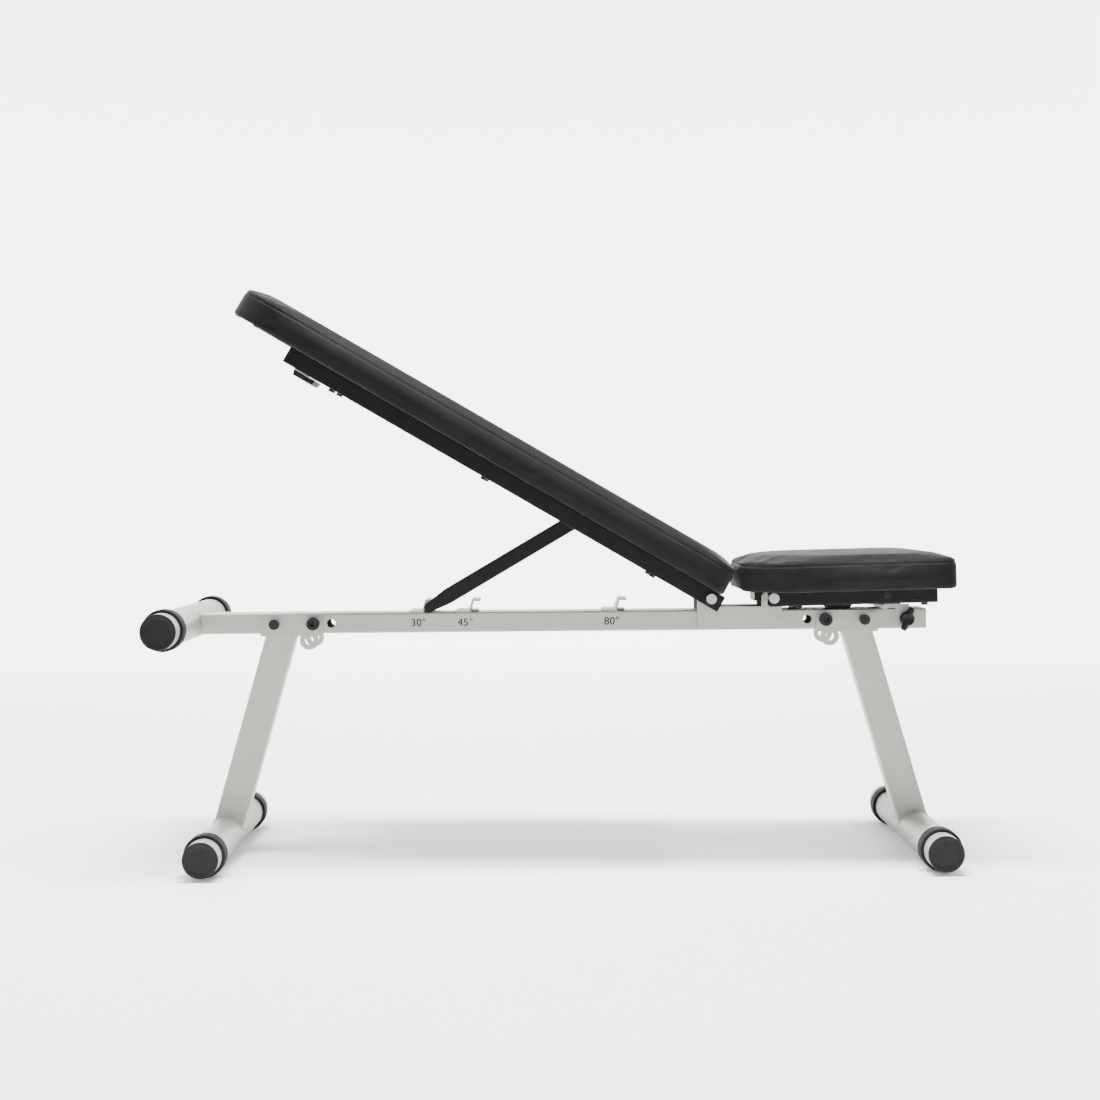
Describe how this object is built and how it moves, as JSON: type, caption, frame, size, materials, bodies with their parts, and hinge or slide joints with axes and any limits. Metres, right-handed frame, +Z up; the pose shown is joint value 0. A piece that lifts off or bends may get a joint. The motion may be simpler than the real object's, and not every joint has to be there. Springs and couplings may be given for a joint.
{
  "type": "adjustable weight bench",
  "caption": "Folding incline weight bench: padded backrest on a strut with three hook positions, tilting seat, beam frame and two folding legs.",
  "frame": {"origin": "centre of the bench's bounding box on the floor", "axes": "+X from the head end to the seat end, +Z up, -Y is the side with the degree scale and the knobs"},
  "size_m": [1.154, 0.366, 0.8342],
  "materials": {
    "frame_paint": "fine textured powder coat, warm light grey",
    "black_paint": "satin black powder coat",
    "leatherette": "black leatherette with fine grain, stitched seams",
    "rubber": "matte black rubber",
    "cap_plastic": "matte black moulded plastic",
    "knob_plastic": "black moulded plastic",
    "black_fasteners": "black oxide steel",
    "zinc": "zinc plated steel",
    "plywood": "raw plywood board"
  },
  "bodies": {
    "frame": {"main_beam": "frame_paint", "beam_end_plug": "frame_paint", "stand_tube": "frame_paint", "stand_tube_rings": "rubber", "stand_tube_caps": "cap_plastic", "hinge_plates": "frame_paint", "hook_30": "frame_paint", "hook_45": "frame_paint", "hook_80": "frame_paint", "backrest_hinge_bolt": "zinc", "seat_hinge_bolt": "zinc"},
    "front_leg": {"front_leg_tube": "frame_paint", "front_leg_bracket": "frame_paint", "front_foot_tube": "frame_paint", "front_foot_rings": "rubber", "front_foot_caps": "cap_plastic", "front_pivot_bolt": "black_fasteners"},
    "front_pin": {"front_lock_pin": "black_fasteners"},
    "rear_leg": {"rear_leg_tube": "frame_paint", "rear_leg_bracket": "frame_paint", "rear_foot_tube": "frame_paint", "rear_foot_rings": "rubber", "rear_foot_caps": "cap_plastic", "rear_pivot_bolt": "black_fasteners"},
    "rear_pin": {"rear_lock_pin": "black_fasteners"},
    "backrest": {"backrest_rails": "black_paint", "backrest_cross_plates": "black_paint", "backrest_board": "plywood", "backrest_pad": "leatherette", "backrest_screws": "black_fasteners", "bumper_strap": "zinc", "backrest_bumper": "rubber", "strut_pivot_bolt": "black_paint"},
    "strut": {"strut_arms": "black_paint", "strut_foot_bar": "black_paint"},
    "seat": {"seat_rails": "black_paint", "seat_cross_plates": "black_paint", "seat_front_bar": "black_paint", "seat_board": "plywood", "seat_pad": "leatherette", "seat_screws": "black_fasteners", "seat_bumpers": "rubber", "seat_side_bolt": "black_fasteners"},
    "riser": {"seat_riser": "frame_paint"},
    "knob": {"knob_stud": "zinc", "wing_knob": "knob_plastic"}
  },
  "joints": [
    {"name": "front_leg_fold", "type": "hinge", "parent": "frame", "child": "front_leg", "pos_m": [-0.355, 0, 0.345], "axis": [0, -1, 0], "range_deg": [0, 104.5]},
    {"name": "front_lock_push", "type": "slide", "parent": "front_leg", "child": "front_pin", "axis": [0, 1, 0], "range_m": [0, 0.008]},
    {"name": "rear_leg_fold", "type": "hinge", "parent": "frame", "child": "rear_leg", "pos_m": [0.4085, 0, 0.345], "axis": [0, 1, 0], "range_deg": [0, 104.5]},
    {"name": "rear_lock_push", "type": "slide", "parent": "rear_leg", "child": "rear_pin", "axis": [0, 1, 0], "range_m": [0, 0.008]},
    {"name": "backrest_tilt", "type": "hinge", "parent": "frame", "child": "backrest", "pos_m": [0.236, 0, 0.3785], "axis": [0, 1, 0], "range_deg": [0, 49.5]},
    {"name": "strut_swing", "type": "hinge", "parent": "backrest", "child": "strut", "pos_m": [0.03739, 0, 0.49549], "axis": [0, -1, 0], "range_deg": [0, 78]},
    {"name": "seat_tilt", "type": "hinge", "parent": "frame", "child": "seat", "pos_m": [0.328, 0, 0.3785], "axis": [0, -1, 0], "range_deg": [0, 4.5]},
    {"name": "riser_turn", "type": "hinge", "parent": "frame", "child": "riser", "pos_m": [0.529, 0, 0.345], "axis": [0, 1, 0], "range_deg": [0, 23]},
    {"name": "knob_turn", "type": "hinge", "parent": "frame", "child": "knob", "pos_m": [0.529, 0, 0.345], "axis": [0, -1, 0], "continuous": true}
  ],
  "couplings": [
    {"joint": "strut_swing", "follows": "backrest_tilt", "ratio": 1.565},
    {"joint": "riser_turn", "follows": "seat_tilt", "ratio": 5.1}
  ]
}
